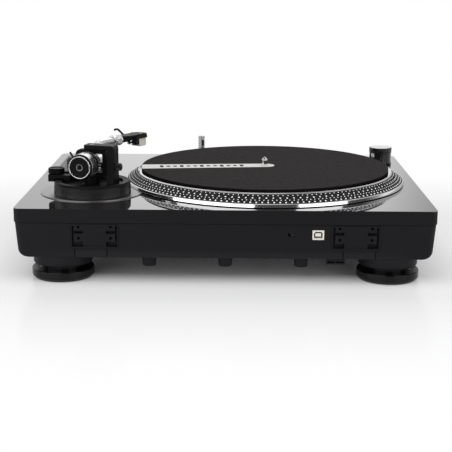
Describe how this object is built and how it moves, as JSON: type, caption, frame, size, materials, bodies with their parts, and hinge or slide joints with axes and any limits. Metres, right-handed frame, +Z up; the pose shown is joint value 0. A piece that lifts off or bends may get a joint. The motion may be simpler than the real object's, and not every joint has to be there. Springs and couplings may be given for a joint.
{
  "type": "turntable record player",
  "caption": "Flat record player with a round platter and felt mat, an S-shaped balanced tonearm on a round base, deck controls and round feet.",
  "frame": {"origin": "on the floor, under the middle of the plinth", "axes": "+X to the right seen from the front, +Y to the rear, +Z up"},
  "size_m": [0.45, 0.352, 0.1384],
  "materials": {
    "gloss_black_metal": "high gloss black lacquer",
    "satin_black_casing": "fine satin moulded black",
    "black_metal": "satin black anodised",
    "chrome": "polished chrome",
    "polished_tube": "polished bright aluminium",
    "bright_aluminium": "turned and polished aluminium",
    "felt": "dark grey felt with a light index stripe",
    "foot_rubber": "semi-gloss black",
    "steel": "plain bright steel",
    "circuit_board": "green board",
    "copper": "copper windings",
    "pale_plastic": "off-white plastic",
    "clear_plastic": "clear moulded lens"
  },
  "bodies": {
    "plinth": {"base_tub": "satin_black_casing", "top_cover": "gloss_black_metal", "hinge_socket_left": "satin_black_casing", "hinge_socket_right": "satin_black_casing", "data_jack": "pale_plastic", "mains_inlet": "satin_black_casing", "signal_jacks": "steel", "main_board": "circuit_board", "transformer": "copper", "control_board": "circuit_board", "pitch_plate": "satin_black_casing", "pitch_fader": "steel", "motor_stator": "copper", "spindle_bearing": "steel", "strobe_tower": "black_metal", "strobe_lens": "clear_plastic", "light_sleeve": "chrome", "arm_escutcheon": "gloss_black_metal"},
    "turning_platter": {"platter": "bright_aluminium", "spindle": "chrome", "rotor_magnet": "steel"},
    "mat": {"slipmat": "felt"},
    "ring": {"height_ring": "black_metal"},
    "arm_base": {"arm_mount": "black_metal", "yoke": "gloss_black_metal", "upper_bearing": "steel", "cue_column": "satin_black_casing", "arm_rest": "satin_black_casing"},
    "skate_dial": {"antiskate_dial": "black_metal"},
    "lock": {"lock_knob": "black_metal"},
    "lever": {"cue_lever": "black_metal"},
    "lifter": {"cue_platform": "black_metal"},
    "clip": {"rest_clip": "satin_black_casing"},
    "gimbal": {"gimbal_ring": "gloss_black_metal", "pivot_screw_right": "steel", "pivot_screw_left": "steel"},
    "tonearm": {"arm_hub": "black_metal", "arm_tube": "polished_tube", "rear_stub": "steel", "headshell": "black_metal", "finger_lift": "black_metal", "cartridge": "satin_black_casing", "stylus": "pale_plastic"},
    "weight_carrier": {"weight_sleeve": "black_metal"},
    "weight": {"counterweight": "steel"},
    "dial": {"force_dial": "bright_aluminium"},
    "collar": {"locking_collar": "chrome"},
    "power": {"power_knob": "bright_aluminium"},
    "light": {"stylus_light": "chrome"},
    "start_stop": {"start_stop_button": "bright_aluminium"},
    "speed_33": {"speed_33_button": "bright_aluminium"},
    "speed_45": {"speed_45_button": "bright_aluminium"},
    "pitch": {"pitch_knob": "black_metal"},
    "output": {"output_switch": "pale_plastic"},
    "foot_fl": {"foot_front_left": "foot_rubber"},
    "foot_fr": {"foot_front_right": "foot_rubber"},
    "foot_rl": {"foot_rear_left": "foot_rubber"},
    "foot_rr": {"foot_rear_right": "foot_rubber"}
  },
  "joints": [
    {"name": "platter_spin", "type": "hinge", "parent": "plinth", "child": "turning_platter", "pos_m": [-0.0456, 0.001, 0.082], "axis": [0, 0, 1], "continuous": true},
    {"name": "slipmat_slip", "type": "hinge", "parent": "turning_platter", "child": "mat", "pos_m": [-0.0456, 0.001, 0.082], "axis": [0, 0, 1], "continuous": true},
    {"name": "height_ring_turn", "type": "hinge", "parent": "plinth", "child": "ring", "pos_m": [0.14996, 0.09596, 0.082], "axis": [0, 0, 1], "range_deg": [0, 270]},
    {"name": "arm_height", "type": "slide", "parent": "plinth", "child": "arm_base", "axis": [0, 0, 1], "range_m": [0, 0.006]},
    {"name": "antiskate_turn", "type": "hinge", "parent": "arm_base", "child": "skate_dial", "pos_m": [0.1926, 0.08002, 0.082], "axis": [0, 0, 1], "range_deg": [0, 300]},
    {"name": "height_lock_turn", "type": "hinge", "parent": "arm_base", "child": "lock", "pos_m": [0.1229, 0.10631, 0.115], "axis": [-0.9744, 0.225, 0], "range_deg": [0, 90]},
    {"name": "cue_lever_turn", "type": "hinge", "parent": "arm_base", "child": "lever", "pos_m": [0.16989, 0.07114, 0.11048], "axis": [-0.225, -0.9744, 0], "range_deg": [0, 60]},
    {"name": "cue_lift", "type": "slide", "parent": "arm_base", "child": "lifter", "axis": [0, 0, 1], "range_m": [0, 0.003]},
    {"name": "rest_clip_turn", "type": "hinge", "parent": "arm_base", "child": "clip", "pos_m": [0.14817, 0.04506, 0.115], "axis": [-0.225, -0.9744, 0], "range_deg": [0, 55]},
    {"name": "arm_swing", "type": "hinge", "parent": "arm_base", "child": "gimbal", "pos_m": [0.14996, 0.09596, 0.082], "axis": [0, 0, -1], "range_deg": [0, 42]},
    {"name": "arm_lift", "type": "hinge", "parent": "gimbal", "child": "tonearm", "pos_m": [0.14996, 0.09596, 0.118], "axis": [-0.9744, 0.225, 0], "range_deg": [0, 8]},
    {"name": "weight_turn", "type": "hinge", "parent": "weight_carrier", "child": "weight", "pos_m": [0.14996, 0.09596, 0.118], "axis": [-0.2249, -0.9742, -0.0192], "range_deg": [-1080, 720]},
    {"name": "weight_slide", "type": "slide", "parent": "tonearm", "child": "weight_carrier", "axis": [-0.2249, -0.9742, -0.0192], "range_m": [-0.006, 0.004]},
    {"name": "force_dial_turn", "type": "hinge", "parent": "weight_carrier", "child": "dial", "pos_m": [0.14996, 0.09596, 0.118], "axis": [-0.2249, -0.9742, -0.0192], "range_deg": [-180, 180]},
    {"name": "collar_turn", "type": "hinge", "parent": "tonearm", "child": "collar", "pos_m": [0.11503, -0.13103, 0.1136], "axis": [-0.5202, -0.8538, -0.0182], "range_deg": [0, 60]},
    {"name": "power_knob_turn", "type": "hinge", "parent": "plinth", "child": "power", "pos_m": [-0.19893, -0.11205, 0.082], "axis": [0, 0, 1], "range_deg": [0, 45]},
    {"name": "stylus_light_press", "type": "slide", "parent": "plinth", "child": "light", "axis": [0, 0, -1], "range_m": [0, 0.022]},
    {"name": "start_stop_press", "type": "slide", "parent": "plinth", "child": "start_stop", "axis": [0, 0, -1], "range_m": [0, 0.0014], "stiffness_N_per_m": 600, "springref_m": -0.001},
    {"name": "speed_33_press", "type": "slide", "parent": "plinth", "child": "speed_33", "axis": [0, 0, -1], "range_m": [0, 0.0014], "stiffness_N_per_m": 400, "springref_m": -0.001},
    {"name": "speed_45_press", "type": "slide", "parent": "plinth", "child": "speed_45", "axis": [0, 0, -1], "range_m": [0, 0.0014], "stiffness_N_per_m": 400, "springref_m": -0.001},
    {"name": "pitch_slide", "type": "slide", "parent": "plinth", "child": "pitch", "axis": [0, 1, 0], "range_m": [-0.045, 0.045]},
    {"name": "output_switch_slide", "type": "slide", "parent": "plinth", "child": "output", "axis": [1, 0, 0], "range_m": [0, 0.003]},
    {"name": "foot_fl_adjust", "type": "slide", "parent": "plinth", "child": "foot_fl", "axis": [0, 0, -1], "range_m": [0, 0.006]},
    {"name": "foot_fr_adjust", "type": "slide", "parent": "plinth", "child": "foot_fr", "axis": [0, 0, -1], "range_m": [0, 0.006]},
    {"name": "foot_rl_adjust", "type": "slide", "parent": "plinth", "child": "foot_rl", "axis": [0, 0, -1], "range_m": [0, 0.006]},
    {"name": "foot_rr_adjust", "type": "slide", "parent": "plinth", "child": "foot_rr", "axis": [0, 0, -1], "range_m": [0, 0.006]}
  ],
  "couplings": [
    {"joint": "height_ring_turn", "follows": "arm_height", "rad_per_m": 785.3},
    {"joint": "cue_lever_turn", "follows": "cue_lift", "rad_per_m": 349},
    {"joint": "weight_turn", "follows": "weight_slide", "rad_per_m": 3141.5}
  ]
}
